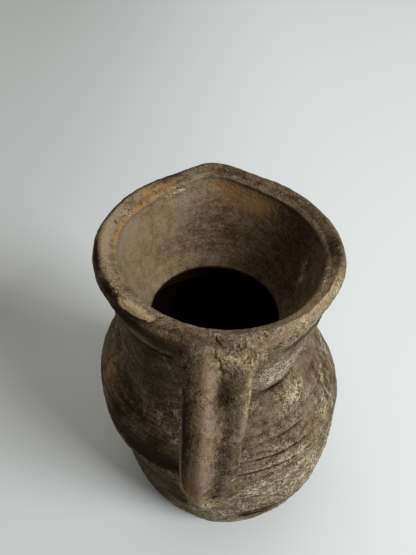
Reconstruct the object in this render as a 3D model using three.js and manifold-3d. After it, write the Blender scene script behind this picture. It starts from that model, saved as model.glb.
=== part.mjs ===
// A stoneware jug: slab base, two thrown body rings, funnel neck, thick lip with a pulled spout,
// and a ridged strap handle with its luting clay. Every joint is luted, with a thin layer of slip
// between the pieces. Millimetres, +Z up, origin at the middle of the foot on the floor.
// The handle is towards -Y and the spout towards +Y.

import * as THREE from 'three';
import { mergeVertices } from 'three/addons/utils/BufferGeometryUtils.js';
import Module from 'manifold-3d';

const wasm = await Module();
wasm.setup();

// Heights above the floor
const slabHeight = 6;            // margin of the base slab, which the wall stands on
const slabStep = 3.5;            // raised middle of the slab, inside the wall
const seamHeight = 105;          // seam between the lower and the upper body ring
const neckFootHeight = 152;      // crease between shoulder and neck
const mouthHeight = 214;         // crest of the lip

// Radii of the thrown pieces, outside unless named otherwise
const footRadius = 48.5;
const bellyRadius = 71;
const neckFootRadius = 50;
const mouthRadius = 62;

// Thicknesses and steps
const wall = 9;                  // body wall
const footWall = 6.5;            // wall's inner edge stands this far in from the foot's edge
const ledge = 1.2;               // overhang of the upper ring over the lower one
const lapHeight = 4;             // tongue of the lower ring inside the upper one
const neckFootWall = 15;         // thick foot of the neck, down to the throat
const throatRise = 10;           // throat above the neck's crease
const throatUndercut = 8;        // the throat's ridge is hollowed out underneath by this much
const lipWidth = 10.5;           // from the lip's outer edge to its bore
const lipOverhang = 6;           // lip standing out past the neck
const lipDepth = 24;             // height of the lip's collar
const lipRound = 4.5;            // width of the lip's rounded outer edge
const lipRoundDrop = 6;          // height of that edge, from the crest down to its widest place
const lipFall = 3.2;             // the top falls by this much from its crest in to the bore
const lipEase = 0.9;             // eased inner edge of the lip
const lipLap = 2.5;              // tongue of the neck inside the lip's collar
const slip = 0.3;                // layer of slip in every joint

// Curves of the wall: how far each end runs straight on before it bends
const footFlare = 12.5;
const footRise = 23;
const bellyFall = 60;
const bellyRise = 17;
const shoulderRun = 8;
const shoulderDrop = 4.5;
const funnelBulge = 2.5;         // the funnel's inside is hollowed by this much

// Strap handle
const handleStandOff = 19.5;     // outer face of the bow, out from the belly
const handleTopDrop = 10.5;      // strap's middle where it leaves the lip, below the lip's crest
const handleBowDrop = 51.5;      // the bow's furthest point, below the strap's top
const handleFootDrop = 45;       // strap's end, below the seam
const handleTopRoot = 8;         // strap starts this far inside the lip and ends this far inside
const handleFootRoot = 11;       // the wall; both ends are then cut to the pot
const handleBowOffset = -2.6;    // the bow is set to the left of the top
const handleFootOffset = -8.3;   // and the foot further to the left
const handleTopRun = 22;
const handleTopLift = 2;
const handleBowRise = 32;
const handleBowFall = 20;
const handleFootRise = 44;
const handleFootOut = 18.5;
const strapThickness = 10;
const strapWidth = 26.5;
const strapTopFlare = 4.5;       // extra width at the top
const strapFootFlare = 2.5;      // extra width at the foot
const broadRidgeHeight = 3.2;    // rounded ridge on the left
const narrowRidgeHeight = 3.4;   // ridge along the right edge
const grooveDepth = 4.2;         // finger groove between the two

// Places and spreads across the strap, as shares of its half width
const broadRidge = { place: -0.32, spread: 0.48 };
const narrowRidge = { place: 0.88, spread: 0.2 };
const groove = { place: 0.22, spread: 0.27 };
const sectionRoundness = 2.7;    // 2 is an ellipse, more is squarer

// Shares of the strap's length
const strapTopFlareEnd = 0.3;    // the extra width at the top has died out here
const strapFootFlareStart = 0.5; // the extra width at the foot starts here
const grooveStart = 0.06;        // the groove and the narrow ridge start below a flat seat,
const grooveFull = 0.1;
const fadeStart = 0.19;          // and die out above the bow
const fadeEnd = 0.28;

// Luting clay at the handle's two ends: half width, half depth, half height
const topPadSize = new THREE.Vector3(14.5, 8, 9);
const topPadDrop = 13.5;         // middle of the pad below the strap's middle
const footPadSize = new THREE.Vector3(19, 3.4, 24);
const footPadLift = 27;          // middle of the pad above the strap's end

// The spout, pulled from the soft lip
const spoutReach = 10;
const spoutDip = 1.5;
const spoutOffset = -3;          // pulled a little to the left of the handle's line
const spoutHalfWidth = 17;
const spoutDepth = 34;           // how far below the lip the pull is felt
const spoutSettle = 4;           // the top of the lip that is pulled by the full amount
const boreStretch = 0.027;       // the bore is longer from front to back by this share

// The pot sank a little to one side while it was soft
const neckShift = 9;             // neck stands this far to the left of the foot
const shiftStart = 50;           // height where the shift begins
const mouthDip = 3;              // degrees that the mouth tips to the right
const flankPress = 4.5;          // left flank pressed in
const flankHeight = 85;
const flankSpread = 20;

// Fineness of the facets
const turnSteps = 48;
const slabSteps = 2;
const wallSteps = 10;
const neckSteps = 5;
const lipSteps = 6;
const strapSteps = 16;           // for each half of the strap's path
const sectionSteps = 26;
const padSteps = 24;             // round the pads; from pole to pole it is half as many

// Unglazed stoneware, matt all over
const clayRoughness = 0.85;
const clay = {
  lower: 0x5a4d3e,
  upper: 0x4d4135,
  neck: 0x54483a,
  lip: 0x665743,
  strap: 0x5f5140,
  pad: 0x6b5d49,
};

// Sizes that follow from those above
const floorRadius = footRadius - footWall;
const floorHeight = slabHeight + slabStep;
const lapRadius = bellyRadius - wall / 2;
const mouthBore = mouthRadius - lipWidth;
const neckTopRadius = mouthRadius - lipOverhang;
const neckTopHeight = mouthHeight - lipDepth;
const throatRadius = neckFootRadius - neckFootWall;
const throatHeight = neckFootHeight + throatRise;
const boreHeight = mouthHeight - lipFall - lipEase;
const handleTopHeight = mouthHeight - handleTopDrop;
const handleFootHeight = seamHeight - handleFootDrop;

const vec = (r, z) => new THREE.Vector2(r, z);
const smooth = THREE.MathUtils.smoothstep;
const bump = (x, middle, spread) => Math.exp(-(((x - middle) / spread) ** 2));

// The outlines run upwards along the outside; x is the radius and y the height.
const lowerCurve = new THREE.CubicBezierCurve(
  vec(footRadius, 0),
  vec(footRadius + footFlare, footRise),
  vec(bellyRadius, seamHeight - bellyFall),
  vec(bellyRadius, seamHeight));
const upperCurve = new THREE.CubicBezierCurve(
  vec(bellyRadius + ledge, seamHeight + slip),
  vec(bellyRadius + ledge, seamHeight + bellyRise),
  vec(neckFootRadius + shoulderRun, neckFootHeight - shoulderDrop),
  vec(neckFootRadius, neckFootHeight));
const funnelCurve = new THREE.QuadraticBezierCurve(
  vec(throatRadius, throatHeight),
  vec((throatRadius + mouthBore) / 2 + funnelBulge, (throatHeight + mouthHeight) / 2),
  vec(mouthBore, boreHeight));

// Parameter at which a rising curve reaches a height, by halving the interval.
const halvings = 30;

function atHeight(curve, height) {
  let low = 0;
  let high = 1;
  for (let i = 0; i < halvings; i++) {
    const middle = (low + high) / 2;
    if (curve.getPoint(middle).y < height) low = middle;
    else high = middle;
  }
  return (low + high) / 2;
}

// Points of a curve between two parameters.
function stretch(curve, from, to, steps) {
  return Array.from({ length: steps + 1 }, (_, i) => curve.getPoint(from + (to - from) * i / steps));
}

// An outline moved towards the axis by a distance, along its own normals; a negative one moves it out.
function inset(outline, distance) {
  return outline.map((point, i) => {
    const before = outline[Math.max(i - 1, 0)];
    const after = outline[Math.min(i + 1, outline.length - 1)];
    const along = after.clone().sub(before).normalize();
    return vec(point.x - along.y * distance, point.y + along.x * distance);
  });
}

const footTop = atHeight(lowerCurve, slabHeight);
const lowerOutline = stretch(lowerCurve, atHeight(lowerCurve, slabHeight + slip), 1, wallSteps);
const upperOutline = stretch(upperCurve, 0, 1, wallSteps);
const shoulderInside = inset(upperOutline, wall);

// The shoulder's opening is a cone from its outer to its inner edge; the neck's plug follows it.
const seatTop = upperOutline.at(-1);
const seatFoot = shoulderInside.at(-1);
const seatAlong = seatFoot.clone().sub(seatTop).normalize();
const seatIn = vec(seatAlong.y, -seatAlong.x).multiplyScalar(slip);
const neckOutline = stretch(
  new THREE.LineCurve(seatTop.clone().add(seatIn), vec(neckTopRadius, neckTopHeight)), 0, 1, neckSteps);

// The lip's outer edge is part of an ellipse; the collar's flank runs up to it along a tangent.
const lipUnderside = vec(neckTopRadius, neckTopHeight + slip);
const lipMiddle = vec(mouthRadius - lipRound, mouthHeight - lipRoundDrop);
const flankFoot = lipUnderside.clone().sub(lipMiddle).divide(vec(lipRound, lipRoundDrop));
const flankTouch = Math.atan2(flankFoot.y, flankFoot.x) + Math.acos(1 / flankFoot.length());
const lipEllipse = new THREE.EllipseCurve(
  lipMiddle.x, lipMiddle.y, lipRound, lipRoundDrop, flankTouch, Math.PI / 2);
const lipOutline = [lipUnderside, ...lipEllipse.getPoints(lipSteps)];

// Keeps positions only, joins shared corners and drops triangles that have shrunk to a line.
function closedMesh(geometry) {
  geometry.deleteAttribute('normal');
  geometry.deleteAttribute('uv');
  const merged = mergeVertices(geometry);
  const corners = merged.index.array;
  const kept = [];
  for (let i = 0; i < corners.length; i += 3) {
    const [a, b, c] = corners.slice(i, i + 3);
    if (a !== b && b !== c && c !== a) kept.push(a, b, c);
  }
  merged.setIndex(kept);
  return merged;
}

// A closed outline turned about the jug's axis.
function turned(outline) {
  const geometry = new THREE.LatheGeometry([...outline, outline[0]], turnSteps);
  geometry.rotateX(Math.PI / 2);
  return closedMesh(geometry);
}

function toSolid(geometry) {
  const vertProperties = new Float32Array(geometry.attributes.position.array);
  const triVerts = new Uint32Array(geometry.index.array);
  return new wasm.Manifold(new wasm.Mesh({ numProp: 3, vertProperties, triVerts }));
}

function fromSolid(solid) {
  const mesh = solid.getMesh();
  const geometry = new THREE.BufferGeometry();
  geometry.setAttribute('position', new THREE.BufferAttribute(mesh.vertProperties, 3));
  geometry.setIndex(new THREE.BufferAttribute(mesh.triVerts, 1));
  return geometry;
}

function baseDisc() {
  return turned([
    vec(0, 0),
    ...stretch(lowerCurve, 0, footTop, slabSteps),
    vec(floorRadius, slabHeight),
    vec(floorRadius, floorHeight),
    vec(0, floorHeight)]);
}

function lowerBody() {
  const inside = inset(lowerOutline, wall).filter((point) => point.y > floorHeight && point.y < seamHeight);
  return turned([
    ...lowerOutline,
    vec(lapRadius, seamHeight),
    vec(lapRadius, seamHeight + lapHeight),
    vec(bellyRadius - wall, seamHeight + lapHeight),
    ...inside.reverse(),
    vec(floorRadius + slip, floorHeight),
    vec(floorRadius + slip, slabHeight + slip)]);
}

function upperBody() {
  const tongueTop = seamHeight + lapHeight + slip;
  const inside = shoulderInside.filter((point) => point.y > tongueTop + slip);
  return turned([
    ...upperOutline,
    ...inside.reverse(),
    vec(bellyRadius + ledge - wall, tongueTop),
    vec(lapRadius + slip, tongueTop),
    vec(lapRadius + slip, seamHeight + slip)]);
}

// Inside radius of the funnel at a height.
function funnelRadius(height) {
  return funnelCurve.getPoint(atHeight(funnelCurve, height)).x;
}

const tongueMiddle = (neckTopRadius + funnelRadius(neckTopHeight)) / 2;

function neck() {
  const plugFoot = seatFoot.clone().add(seatIn);
  const tongueTop = neckTopHeight + lipLap;
  const inside = stretch(funnelCurve, 0, atHeight(funnelCurve, tongueTop), neckSteps);
  return turned([
    ...neckOutline,
    vec(tongueMiddle, neckTopHeight),
    vec(tongueMiddle, tongueTop),
    ...inside.reverse(),
    vec(plugFoot.x, throatHeight - throatUndercut),
    plugFoot]);
}

function rimBand() {
  const tongueTop = lipUnderside.y + lipLap;
  const inside = stretch(funnelCurve, atHeight(funnelCurve, tongueTop), 1, neckSteps);
  const easeDrop = lipFall * (1 - lipEase / (lipWidth - lipRound));
  return turned([
    ...lipOutline,
    vec(mouthBore + lipEase, mouthHeight - easeDrop),
    ...inside.reverse(),
    vec(tongueMiddle + slip, tongueTop),
    vec(tongueMiddle + slip, lipUnderside.y)]);
}

// The whole pot's outside as one plug, standing proud by the slip: it cuts the handle to its seats.
function potSkin() {
  const outside = [vec(footRadius, 0), ...lowerOutline, ...upperOutline, ...neckOutline, ...lipOutline];
  const proud = inset(outside, -slip);
  return toSolid(turned([vec(0, 0), ...proud, vec(0, mouthHeight + slip)]));
}

// Outside radius of the lower wall at a height.
function wallRadius(height) {
  return lowerCurve.getPoint(atHeight(lowerCurve, height)).x;
}

// The strap's middle line: out from the lip, over the bow and down along the belly into the wall.
function strapPath() {
  const bowOut = bellyRadius + handleStandOff - strapThickness / 2;
  const bow = new THREE.Vector3(handleBowOffset, -bowOut, handleTopHeight - handleBowDrop);
  const top = new THREE.Vector3(0, handleTopRoot - mouthRadius, handleTopHeight);
  const footOut = wallRadius(handleFootHeight) - handleFootRoot;
  const foot = new THREE.Vector3(handleFootOffset, -footOut, handleFootHeight);
  const path = new THREE.CurvePath();
  path.add(new THREE.CubicBezierCurve3(
    top,
    top.clone().add(new THREE.Vector3(handleBowOffset, -handleTopRun, handleTopLift)),
    bow.clone().add(new THREE.Vector3(0, 0, handleBowRise)),
    bow));
  path.add(new THREE.CubicBezierCurve3(
    bow,
    bow.clone().add(new THREE.Vector3(0, 0, -handleBowFall)),
    foot.clone().add(new THREE.Vector3(0, -handleFootOut, handleFootRise)),
    foot));
  return path;
}

// One point of the strap's section: across its width, and outwards from its middle.
// The outer face has a broad ridge on the left, a groove, and a narrow ridge on the right.
function sectionPoint(angle, down, grow) {
  const round = (value) => Math.sign(value) * Math.abs(value) ** (2 / sectionRoundness);
  const across = round(Math.cos(angle));
  const outwards = round(Math.sin(angle));
  const ridged = smooth(down, grooveStart, grooveFull) * (1 - smooth(down, fadeStart, fadeEnd));
  const broad = broadRidgeHeight * bump(across, broadRidge.place, broadRidge.spread);
  const narrow = narrowRidgeHeight * bump(across, narrowRidge.place, narrowRidge.spread);
  const hollow = grooveDepth * bump(across, groove.place, groove.spread);
  const relief = Math.max(outwards, 0) * (broad + ridged * (narrow - hollow));
  const widerTop = strapTopFlare * (1 - smooth(down, 0, strapTopFlareEnd));
  const widerFoot = strapFootFlare * smooth(down, strapFootFlareStart, 1);
  const halfWidth = (strapWidth + widerTop + widerFoot) / 2 + grow;
  return vec(across * halfWidth, outwards * (strapThickness / 2 + grow) + relief);
}

// The section carried along the path; the section's width stays along X.
function strap(grow) {
  const path = strapPath();
  const stations = strapSteps * 2;
  const positions = [];
  const index = [];
  for (let i = 0; i <= stations; i++) {
    const down = i / stations;
    const centre = path.getPoint(down);
    const along = path.getTangent(down);
    const outwards = new THREE.Vector3(0, -1, 0).projectOnPlane(along).normalize();
    if (outwards.dot(new THREE.Vector3(0, along.z, -along.y)) < 0) outwards.negate();
    for (let j = 0; j < sectionSteps; j++) {
      const point = sectionPoint(2 * Math.PI * j / sectionSteps, down, grow);
      positions.push(centre.x + point.x, centre.y + outwards.y * point.y, centre.z + outwards.z * point.y);
    }
  }
  const ends = [0, stations].map((i) => {
    const centre = path.getPoint(i / stations);
    return positions.push(centre.x, centre.y, centre.z) / 3 - 1;
  });
  for (let j = 0; j < sectionSteps; j++) {
    const next = (j + 1) % sectionSteps;
    for (let i = 0; i < stations; i++) {
      const a = i * sectionSteps + j;
      const b = i * sectionSteps + next;
      index.push(a, b, a + sectionSteps, b, b + sectionSteps, a + sectionSteps);
    }
    index.push(ends[0], next, j);
    index.push(ends[1], stations * sectionSteps + j, stations * sectionSteps + next);
  }
  const geometry = new THREE.BufferGeometry();
  geometry.setAttribute('position', new THREE.Float32BufferAttribute(positions, 3));
  geometry.setIndex(index);
  return toSolid(geometry);
}

// A thumbed lump of clay: half-buried ellipsoid, cut to the pot and to the strap that it holds.
function lutingPad(centre, size, skin, strapRoom) {
  const lump = new THREE.SphereGeometry(1, padSteps, padSteps / 2);
  lump.scale(size.x, size.y, size.z);
  lump.translate(centre.x, centre.y, centre.z);
  return fromSolid(toSolid(closedMesh(lump)).subtract(skin).subtract(strapRoom));
}

// Moves the points of a piece as the soft clay moved: spout, stretched bore, pressed flank, tipped mouth,
// shifted neck.
function slump(geometry) {
  const place = geometry.attributes.position;
  const tip = THREE.MathUtils.degToRad(mouthDip);
  for (let i = 0; i < place.count; i++) {
    let x = place.getX(i);
    let y = place.getY(i);
    let z = place.getZ(i);
    const height = z;
    const pull = smooth(height, mouthHeight - spoutDepth, mouthHeight - spoutSettle)
      * bump(x, spoutOffset, spoutHalfWidth) * smooth(y, 0, mouthBore);
    const inside = (1 - smooth(Math.hypot(x, y), mouthBore, mouthRadius))
      * smooth(height, throatHeight, boreHeight);
    y += spoutReach * pull + boreStretch * y * inside;
    z -= spoutDip * pull;
    x += flankPress * (Math.min(x, 0) / bellyRadius) ** 2 * bump(height, flankHeight, flankSpread);
    const turn = Math.sin(tip * smooth(height, seamHeight, neckFootHeight));
    const tipped = x + (z - neckFootHeight) * turn;
    z -= x * turn;
    x = tipped - neckShift * smooth(height, shiftStart, neckFootHeight);
    place.setXYZ(i, x, y, z);
  }
  geometry.computeVertexNormals();
  return geometry;
}

const jug = new THREE.Group();

function addPiece(name, geometry, color) {
  const material = new THREE.MeshStandardMaterial({ color, roughness: clayRoughness, metalness: 0 });
  const mesh = new THREE.Mesh(slump(geometry), material);
  mesh.name = name;
  jug.add(mesh);
}

const skin = potSkin();
const strapRoom = strap(slip);
const topPadPlace = new THREE.Vector3(0, -neckTopRadius, handleTopHeight - topPadDrop);
const footPadHeight = handleFootHeight + footPadLift;
const footPadPlace = new THREE.Vector3(handleFootOffset, -wallRadius(footPadHeight), footPadHeight);

addPiece('base_disc', baseDisc(), clay.lower);
addPiece('lower_body', lowerBody(), clay.lower);
addPiece('upper_body', upperBody(), clay.upper);
addPiece('neck', neck(), clay.neck);
addPiece('rim_band', rimBand(), clay.lip);
addPiece('handle_strap', fromSolid(strap(0).subtract(skin)), clay.strap);
addPiece('handle_top_pad', lutingPad(topPadPlace, topPadSize, skin, strapRoom), clay.pad);
addPiece('handle_foot_pad', lutingPad(footPadPlace, footPadSize, skin, strapRoom), clay.pad);

export default jug;
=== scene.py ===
# The looks of a stoneware jug. Each piece is a surface worked out with numpy in millimetres, upright about
# the z axis; slump() then moves it as the soft clay sank, and its mesh is stored in metres.
from math import comb

import bpy
import numpy as np
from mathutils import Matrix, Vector


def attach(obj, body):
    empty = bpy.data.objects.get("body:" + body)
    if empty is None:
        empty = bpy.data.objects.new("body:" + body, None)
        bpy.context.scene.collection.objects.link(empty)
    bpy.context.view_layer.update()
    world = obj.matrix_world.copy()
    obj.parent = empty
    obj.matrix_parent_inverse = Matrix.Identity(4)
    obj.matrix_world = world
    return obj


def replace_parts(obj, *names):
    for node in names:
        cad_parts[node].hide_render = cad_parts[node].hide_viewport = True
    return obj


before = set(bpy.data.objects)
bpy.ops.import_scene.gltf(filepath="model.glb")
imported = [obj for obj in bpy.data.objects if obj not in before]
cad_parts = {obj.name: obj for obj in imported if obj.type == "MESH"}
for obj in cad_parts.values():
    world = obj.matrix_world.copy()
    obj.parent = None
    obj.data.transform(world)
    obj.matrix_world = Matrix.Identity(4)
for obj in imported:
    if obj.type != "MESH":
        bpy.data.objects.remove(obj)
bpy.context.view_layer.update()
metre = 0.001                     # one millimetre in metres
print("frame loaded:", ", ".join(sorted(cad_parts)))

# The pot's main sizes, shared by all pieces
pot = {
    "slabHeight": 6.0,            # the wall stands on the slab's margin
    "floorHeight": 9.5,           # floor inside
    "seamHeight": 105.0,          # between the two body rings
    "neckFootHeight": 152.0,      # crease between shoulder and neck
    "throatHeight": 162.0,
    "neckTopHeight": 190.0,       # lower edge of the lip
    "mouthHeight": 214.0,
    "footRadius": 48.5,
    "floorRadius": 42.0,
    "bellyRadius": 71.0,
    "ledge": 1.2,                 # upper ring's overhang at the seam
    "neckFootRadius": 50.0,
    "throatRadius": 35.0,
    "neckTopRadius": 56.0,
    "mouthRadius": 62.0,
    "mouthBore": 51.5,
    "lipFall": 3.2,               # from the lip's crest in to the mouth
    "lipEase": 0.9,               # eased inner edge of the lip
    "wall": 9.0,
    "lapHeight": 4.0,
}

# How the soft pot was pulled, pressed and tipped
sag = {
    "spoutReach": 10.0,
    "spoutDip": 1.5,
    "spoutOffset": -3.0,
    "spoutHalfWidth": 17.0,
    "spoutDepth": 34.0,
    "spoutSettle": 4.0,
    "boreStretch": 0.027,         # the bore is longer from front to back by this share
    "neckShift": 9.0,
    "shiftStart": 50.0,
    "mouthDip": 3.0,              # degrees
    "flankPress": 4.5,
    "flankHeight": 85.0,
    "flankSpread": 20.0,
}

boreHeight = pot["mouthHeight"] - pot["lipFall"] - pot["lipEase"]


# The value held between 0 and 1.
def unit(x):
    return np.clip(x, 0, 1)


# An s-curve from 0 at low to 1 at high.
def smooth(x, low, high):
    share = unit((x - low) / (high - low))
    return share * share * (3 - 2 * share)


# A bell curve, 1 at its middle.
def bump(x, middle, spread):
    return np.exp(-((x - middle) / spread) ** 2)


# Value noise from about -1 to 1: every corner of a cubic lattice has a fixed random number, and a point
# takes the smooth mix of the eight corners round it; finer layers come in at half the size and strength.
def clayNoise(points, size, seed, layers=3):
    primes = np.array([73856093, 19349663, 83492791], np.uint64)
    scramble = np.uint64(0x9E3779B97F4A7C15)
    layerShift = 17.7
    seedStep = 7919
    total = np.zeros(points.shape[:-1])
    for layer in range(layers):
        cell = points * (2 ** layer / size) + layerShift * layer
        corner = np.floor(cell)
        part = cell - corner
        part = part * part * (3 - 2 * part)
        corner = corner.astype(np.int64)
        for step in np.ndindex(2, 2, 2):
            key = (corner + step).astype(np.uint64) * primes
            key = key[..., 0] ^ key[..., 1] ^ key[..., 2] ^ np.uint64(seed * seedStep + layer)
            key = (key ^ (key >> np.uint64(15))) * scramble
            value = (key >> np.uint64(40)).astype(float) / 2 ** 23 - 1
            weight = np.where(step, part, 1 - part).prod(axis=-1)
            total += value * weight / 2 ** layer
    return total


# A Bezier curve: the corners mixed by the Bernstein weights at each share of the way.
def bezier(corners, share):
    corners = np.asarray(corners, float)
    share = np.asarray(share, float)[..., None]
    last = len(corners) - 1
    weights = [comb(last, k) * share ** k * (1 - share) ** (last - k) for k in range(last + 1)]
    return sum(weight * corner for weight, corner in zip(weights, corners))


# The same line with points at an even spacing.
def evenly(points, step):
    points = np.asarray(points, float)
    length = np.concatenate([[0], np.cumsum(np.linalg.norm(np.diff(points, axis=0), axis=1))])
    place = np.linspace(0, length[-1], max(int(np.ceil(length[-1] / step)), 1) + 1)
    return np.stack([np.interp(place, length, column) for column in points.T], axis=1)


# Outward unit normals of an outline of radius and height that runs up the outside and down the inside.
def outward(points):
    along = np.gradient(points, axis=0)
    normal = np.stack([along[:, 1], -along[:, 0]], axis=1)
    return normal / np.linalg.norm(normal, axis=1, keepdims=True)


# The soft pot's movement: spout pulled, bore stretched, flank pressed, mouth tipped, neck shifted.
def slump(points):
    x, y, z = np.moveaxis(points, -1, 0)
    height = z
    pull = smooth(height, pot["mouthHeight"] - sag["spoutDepth"], pot["mouthHeight"] - sag["spoutSettle"])
    pull = pull * bump(x, sag["spoutOffset"], sag["spoutHalfWidth"]) * smooth(y, 0, pot["mouthBore"])
    inside = 1 - smooth(np.hypot(x, y), pot["mouthBore"], pot["mouthRadius"])
    inside = inside * smooth(height, pot["throatHeight"], boreHeight)
    y = y + sag["spoutReach"] * pull + sag["boreStretch"] * y * inside
    z = z - sag["spoutDip"] * pull
    leftness = (np.minimum(x, 0) / pot["bellyRadius"]) ** 2
    x = x + sag["flankPress"] * leftness * bump(height, sag["flankHeight"], sag["flankSpread"])
    turn = np.sin(np.radians(sag["mouthDip"]) * smooth(height, pot["seamHeight"], pot["neckFootHeight"]))
    tipped = x + (z - pot["neckFootHeight"]) * turn
    z = z - x * turn
    x = tipped - sag["neckShift"] * smooth(height, sag["shiftStart"], pot["neckFootHeight"])
    return np.stack([x, y, z], axis=-1)


# Distances from the ends of the wall's outlines to the corners of their bends
bends = {
    "footOut": 12.5,
    "footUp": 23.0,
    "bellyDown": 60.0,
    "shoulderUp": 17.0,
    "creaseOut": 8.0,
    "creaseDown": 4.5,
    "funnelBow": 2.5,
}

# Outlines of the wall, radius and height, running upwards
fine = np.linspace(0, 1, 400)
overhang = pot["bellyRadius"] + pot["ledge"]
lowerCurve = bezier([
    (pot["footRadius"], 0),
    (pot["footRadius"] + bends["footOut"], bends["footUp"]),
    (pot["bellyRadius"], pot["seamHeight"] - bends["bellyDown"]),
    (pot["bellyRadius"], pot["seamHeight"])], fine)
upperCurve = bezier([
    (overhang, pot["seamHeight"]),
    (overhang, pot["seamHeight"] + bends["shoulderUp"]),
    (pot["neckFootRadius"] + bends["creaseOut"], pot["neckFootHeight"] - bends["creaseDown"]),
    (pot["neckFootRadius"], pot["neckFootHeight"])], fine)
neckCurve = bezier([
    (pot["neckFootRadius"], pot["neckFootHeight"]),
    (pot["neckTopRadius"], pot["neckTopHeight"])], fine)
funnelMiddle = (pot["throatRadius"] + pot["mouthBore"]) / 2 + bends["funnelBow"]
funnelCurve = bezier([
    (pot["throatRadius"], pot["throatHeight"]),
    (funnelMiddle, (pot["throatHeight"] + pot["mouthHeight"]) / 2),
    (pot["mouthBore"], boreHeight)], fine)
skinCurve = np.vstack([lowerCurve, upperCurve, neckCurve])
lowerInside = lowerCurve - pot["wall"] * outward(lowerCurve)
upperInside = upperCurve - pot["wall"] * outward(upperCurve)


# Radius of the pot's outside at a height.
def skinRadius(height):
    return np.interp(height, skinCurve[:, 1], skinCurve[:, 0])


# Inside radius of the funnel at a height.
def funnelRadius(height):
    return np.interp(height, funnelCurve[:, 1], funnelCurve[:, 0])


# The part of a curve between two heights, cut at both exactly.
def between(curve, low, high):
    inner = curve[(curve[:, 1] > low) & (curve[:, 1] < high)]
    ends = [(np.interp(z, curve[:, 1], curve[:, 0]), z) for z in (low, high)]
    return np.vstack([ends[0], inner, ends[1]])


# A stretch of a ring's outline: radius, height, outward normal, relief that shows, and side (1 out, -1 in).
def stretch(points, step, relief, side):
    points = evenly(points, step)
    return np.column_stack([points, outward(points), np.full((len(points), 2), (relief, side))])


# Corners of a joint, hidden between two pieces, with no relief.
def jointFace(*corners):
    return np.column_stack([np.array(corners, float), np.zeros((len(corners), 4))])


# A new object in the scene that shows the data.
def addObject(name, data):
    made = bpy.data.objects.new(name, data)
    bpy.context.scene.collection.objects.link(made)
    return made


creaseAngle = 48.0                # degrees; faces that meet more sharply keep an edge


# Puts a grid of points into a mesh. Columns always close on the first; rows close on the first when ring
# is set, and otherwise each end row closes on a point in its middle. Faces are turned to point outwards.
def gridPiece(name, grid, ring, masks, material):
    rows, columns = grid.shape[:2]
    place = np.arange(rows * columns).reshape(rows, columns)
    beside = np.roll(place, -1, axis=1)
    above, aboveBeside = np.roll(place, -1, axis=0), np.roll(beside, -1, axis=0)
    quads = np.stack([place, beside, aboveBeside, above], axis=-1)
    if not ring:
        quads = quads[:-1]
    quads = quads.reshape(-1, 4)
    points = grid.reshape(-1, 3)
    values = {key: np.broadcast_to(mask, (rows, columns)).reshape(-1) for key, mask in masks.items()}
    caps = np.zeros((0, 3), int)
    if not ring:
        poles = grid[[0, -1]].mean(axis=1)
        foot = np.stack([np.full(columns, len(points)), beside[0], place[0]], axis=1)
        head = np.stack([np.full(columns, len(points) + 1), place[-1], beside[-1]], axis=1)
        caps = np.vstack([foot, head])
        points = np.vstack([points, poles])
        values = {key: np.append(value, value[[0, -1]]) for key, value in values.items()}
    a, b, c, d = (points[quads[:, k]] for k in range(4))
    if (np.cross(c - a, d - b) * (a + b + c + d)).sum() < 0:
        quads, caps = quads[:, ::-1], caps[:, ::-1]
    mesh = bpy.data.meshes.new(name)
    mesh.from_pydata((points * metre).tolist(), [], quads.tolist() + caps.tolist())
    mesh.polygons.foreach_set("use_smooth", np.ones(len(mesh.polygons), bool))
    mesh.set_sharp_from_angle(angle=np.radians(creaseAngle))
    for key, value in values.items():
        layer = mesh.attributes.new(key, "FLOAT", "POINT")
        layer.data.foreach_set("value", value.astype(np.float32))
    mesh.materials.append(material)
    piece = addObject(name, mesh)
    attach(piece, "root")
    print("made", name, len(points), "points")
    return piece


# Colour as a renderer wants it: each sRGB hex pair, straightened to linear light.
def linear(hexColour):
    share = np.array([int(hexColour[k:k + 2], 16) for k in (0, 2, 4)]) / 255
    straight = np.where(share <= 0.04045, share / 12.92, ((share + 0.055) / 1.055) ** 2.4)
    return (*straight.tolist(), 1.0)


# Adds a node with its settings; inputs hold values, or the sockets that they are linked from.
def addNode(tree, kind, settings=None, inputs=None):
    node = tree.nodes.new(kind)
    for key, value in (settings or {}).items():
        setattr(node, key, value)
    for key, value in (inputs or {}).items():
        if isinstance(value, bpy.types.NodeSocket):
            tree.links.new(value, node.inputs[key])
        else:
            node.inputs[key].default_value = value
    return node


# Grain of the clay's noises in millimetres
grainSizes = {"cloud": 24.0, "mottle": 6.0, "speck": 2.2, "grit": 0.9}

# Fine cracks in the crust: size of the plates between them, and how far and how finely the cracks are bent
crackle = {"plateSize": 4.5, "bendReach": 3.0, "bendSize": 3.0}

# What makes clay light or dark: rough as it was drawn, or calm where it was smoothed
roughLight = {"cloud": 0.6, "mottle": 0.5, "speck": 0.8, "grit": 1.2}
calmLight = {"cloud": 0.7, "mottle": 0.4, "speck": 0.2, "grit": 0.3}
wearAndLightWeight = 0.4

# Layers on the clay: noises and masks with the weights they are added by, then where a soft step on that sum
# starts and ends, and how much of the layer shows at most
coats = {
    "ash": ({"cloud": 1.0, "mottle": 0.8, "speck": 0.5}, 1.0, 1.4, 0.55),
    "rust": ({"mottle": 1.0, "speck": 0.9, "stain": 1.0}, 1.05, 1.95, 0.85),
    "calmRust": ({"stain": 1.0}, 0.0, 1.0, 0.9),
    "lime": ({"mottle": 0.3, "speck": 0.8, "grit": 1.5, "crust": 0.9}, 1.45, 2.0, 0.8),
    "chalk": ({"speck": 0.4, "grit": 1.0, "crust": 0.45}, 1.0, 1.25, 0.7),
    "cracked": ({"cracks": -6.0, "crust": 1.0, "mottle": 0.8}, 0.4, 0.9, 0.5),
    "pits": ({"grit": -1.0, "speck": -0.3, "crust": 0.1}, -0.53, -0.41, 1.0),
    # black: soot and painted shade, laid on in the soot colour
    "black": ({"sootAndShade": 1.0, "mottle": -0.1, "speck": -0.2, "grit": -0.4, "lines": -0.3}, -0.47, 0.51, 1.0),
}

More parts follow.
